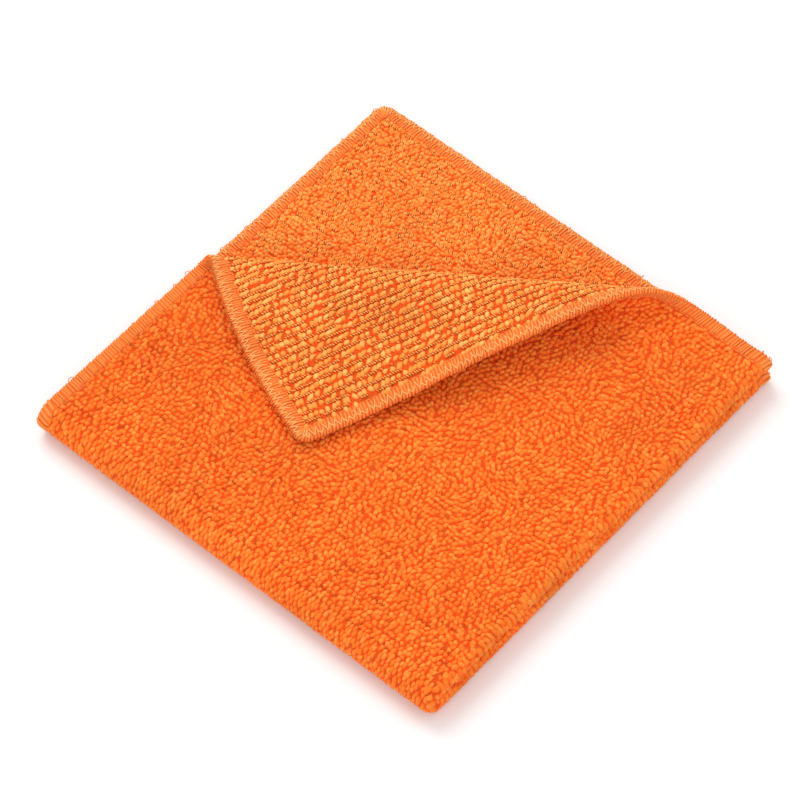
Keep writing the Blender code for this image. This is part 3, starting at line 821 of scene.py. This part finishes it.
def strands(k):
    """Slanted looper strands: from the needle line on the looped face, round the rim, and
    back over the reverse, a little uneven from one to the next."""
    t = np.linspace(0.0, 1.0, 13)[None, :]
    start = np.abs(2 * t - 1)
    inward = 0.00005 + STRAND_IN * start ** 1.5
    side = np.where(t < 0.5, 1.0, -1.0)
    above = side * (band_height(inward) + 0.00008)
    above = np.where(np.abs(t - 0.5) < 0.01, 0.0, above)
    uneven = 0.16 * np.sin(2.4 * k + 1.7 * np.sin(0.9 * k))
    s = (k[:, None] + uneven[:, None] * (1 - t) + 0.75 * t) * STITCH
    slack = 0.00013 * (1 + np.sin(1.9 * k + 2.3 * np.sin(1.3 * k)))[:, None] * (1 - start)
    reach = 1 + 0.09 * np.sin(2.7 * k + 1.9 * np.sin(0.6 * k))[:, None]
    return s, inward * reach - slack, above * (1 + 0.16 * np.sin(3.1 * k))[:, None] + 0 * s


def zigzag(k):
    """The lower looper on the reverse: out from the needle line to the rim and back."""
    t = np.linspace(0.0, 1.0, 9)[None, :]
    wave = np.abs(2 * t - 1)
    inward = 0.0001 + 0.0023 * wave
    above = -(band_height(inward) + 0.00042)
    reach = 1 + 0.28 * np.sin(2.1 * k + 2.0 * np.sin(0.7 * k))
    uneven = 0.22 * np.sin(1.7 * k + 1.5 * np.sin(1.1 * k))[:, None] * wave
    return (k[:, None] + t + uneven) * STITCH, inward * reach[:, None], above + 0 * k[:, None]


def needle_line(k, face):
    """The needle thread: one low arch for each stitch, dipping into the cloth between."""
    t = np.linspace(0.0, 1.0, 6)[None, :]
    low = band_height(np.full(t.shape, NEEDLE_IN)) - 0.0001
    above = face * (low + 0.0003 * np.sin(np.pi * t))
    s = (k[:, None] + t * 0.86) * STITCH
    return s, np.full(s.shape, NEEDLE_IN), above + 0 * s


stitch = np.arange(STITCHES, dtype=float)
at_stitch = rim((stitch + 0.5) * STITCH, np.full(STITCHES, MID_BAND))
stitch_part = part_of(at_stitch[:, 0], at_stitch[:, 1])
LOOPER_RADIUS, ZIGZAG_RADIUS, NEEDLE_RADIUS = 0.00034, 0.00019, 0.00022
THREAD_TONES = (0.08, 0.9, 0.15, 0.15)   # of the strands, the zigzag and the needle lines


def all_faces(runs):
    """Faces of several runs, numbered as one mesh; each run begins with points and faces."""
    faces, shift = [], 0
    for points, run_faces, *_ in runs:
        faces += [[i + shift for i in face] for face in run_faces]
        shift += len(points)
    return faces


EDGINGS = {
    LOWER: ["bottom_edging", "second_edging", "lower_lip_edging"],
    UPPER: ["third_edging", "top_left_edging", "upper_lip_edging"],
    OUTER_FOLD: ["outer_fold_edging"],
    INNER_FOLD: ["inner_fold_edging"],
    TURNED: ["roll_left_edging", "roll_back_edging", "flap_edging"],
}
edge_pieces = []
for part, nodes in EDGINGS.items():
    runs = [band_run(first, last) for first, last in zip(breaks[:-1], breaks[1:])
            if s_part[first] == part]
    points = np.concatenate([run[0] for run in runs])
    rise = np.concatenate([run[2] for run in runs])
    band = add_piece("overlock_band_" + PART_NAMES[part], points, all_faces(runs), THREAD,
                     rise, np.full(len(points), 0.12))
    carry(band, part)
    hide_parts(*nodes)
    mine = stitch[stitch_part == part]
    doubled = np.concatenate([mine, mine + 0.5])
    runs = [thread_run(*strands(doubled), LOOPER_RADIUS),
            thread_run(*zigzag(mine), ZIGZAG_RADIUS),
            thread_run(*needle_line(mine, 1.0), NEEDLE_RADIUS),
            thread_run(*needle_line(mine, -1.0), NEEDLE_RADIUS)]
    points = np.concatenate([run[0] for run in runs])
    tone = np.concatenate([
        np.full(len(run[0]), shade) for run, shade in zip(runs, THREAD_TONES)
    ])
    threads = add_piece("overlock_threads_" + PART_NAMES[part], points, all_faces(runs), THREAD,
                        np.full(len(points), 0.85), tone)
    carry(threads, part)
    edge_pieces += [band, threads]


# Pulled fibres ------------------------------------------------------------------------
# A few split yarn ends that have worked loose at the rims and stand off in fine curls.

FIBRES = 110
FIBRE_RADIUS = 0.00014
fibre_rng = np.random.default_rng(50)
fibre_s = fibre_rng.uniform(0.0, RIM_LENGTH, FIBRES)
outward = -fibre_rng.uniform(0.0003, 0.0014, FIBRES)
t = np.linspace(0.0, 1.0, 6)[None, :]
curl = fibre_rng.uniform(-0.0022, 0.0022, FIBRES)[:, None]
fibre_in = 0.0004 + (outward[:, None] - 0.0004) * np.sin(np.pi * t * 0.8)
fibre_up = fibre_rng.uniform(-0.0008, 0.0008, FIBRES)[:, None] + 0.0005 * t
fibre_path = (fibre_s[:, None] + curl * t ** 1.5, fibre_in, fibre_up)
fibre_at = rim(fibre_s, np.full(FIBRES, MID_BAND))
fibre_part = part_of(fibre_at[:, 0], fibre_at[:, 1])
for part in (LOWER, UPPER, TURNED):
    mine = fibre_part == part
    fibre_points, fibre_faces = thread_run(
        *(axis[mine] for axis in fibre_path), FIBRE_RADIUS, 4
    )
    count = len(fibre_points)
    fibres = add_piece("loose_fibres_" + PART_NAMES[part], fibre_points, fibre_faces, THREAD,
                       np.full(count, 0.6), np.full(count, 0.1))
    carry(fibres, part)
    edge_pieces.append(fibres)


# Floor, light and camera --------------------------------------------------------------
# A plain pale floor in a bright studio, with a large soft light from the upper left and a
# weaker one from the lower right.

floor_mesh = bpy.data.meshes.new("floor")
floor_mesh.from_pydata([(-6, -6, 0), (6, -6, 0), (6, 6, 0), (-6, 6, 0)], [], [(0, 1, 2, 3)])
floor = bpy.data.objects.new("floor", floor_mesh)
bpy.context.scene.collection.objects.link(floor)
paper = bpy.data.materials.new("pale_floor")
paper.use_nodes = True
paper_shader = paper.node_tree.nodes["Principled BSDF"]
paper_shader.inputs["Base Color"].default_value = (0.93, 0.93, 0.93, 1.0)
paper_shader.inputs["Roughness"].default_value = 0.9
paper_shader.inputs["Specular IOR Level"].default_value = 0.1
floor_mesh.materials.append(paper)

world = bpy.data.worlds.new("studio")
bpy.context.scene.world = world
world.use_nodes = True
world.node_tree.nodes["Background"].inputs["Color"].default_value = (1.0, 1.0, 1.0, 1.0)
world.node_tree.nodes["Background"].inputs["Strength"].default_value = 0.86
bpy.context.scene.view_settings.view_transform = "Standard"


def aim(obj, place_at, target):
    """Put an object at a place and turn its -Z axis towards the target."""
    way = mathutils.Vector(target) - mathutils.Vector(place_at)
    obj.location = place_at
    obj.rotation_euler = way.to_track_quat("-Z", "Y").to_euler()


def softbox(name, place_at, size, power):
    """A square area light that looks at the towel."""
    light = bpy.data.lights.new(name, "AREA")
    light.size = size
    light.energy = power
    obj = bpy.data.objects.new(name, light)
    bpy.context.scene.collection.objects.link(obj)
    aim(obj, place_at, (0.0, 0.0, 0.0))


softbox("key_light", (-0.9, 0.35, 1.3), 0.9, 10.5)
softbox("fill_light", (0.9, -1.2, 1.0), 1.4, 5.0)

AZIMUTH, ELEVATION, DISTANCE = math.radians(40.8), math.radians(55.3), 1.384
TARGET = np.array([-0.0033, 0.0011, 0.0])
camera_data = bpy.data.cameras.new("camera")
camera_data.lens = 200.0
camera_data.sensor_width = 36.0
camera_data.clip_start = 0.01
camera = bpy.data.objects.new("camera", camera_data)
bpy.context.scene.collection.objects.link(camera)
aim(camera, tuple(TARGET + DISTANCE * np.array([
    math.cos(ELEVATION) * math.sin(AZIMUTH),
    -math.cos(ELEVATION) * math.cos(AZIMUTH),
    math.sin(ELEVATION),
])), tuple(TARGET))
bpy.context.scene.camera = camera
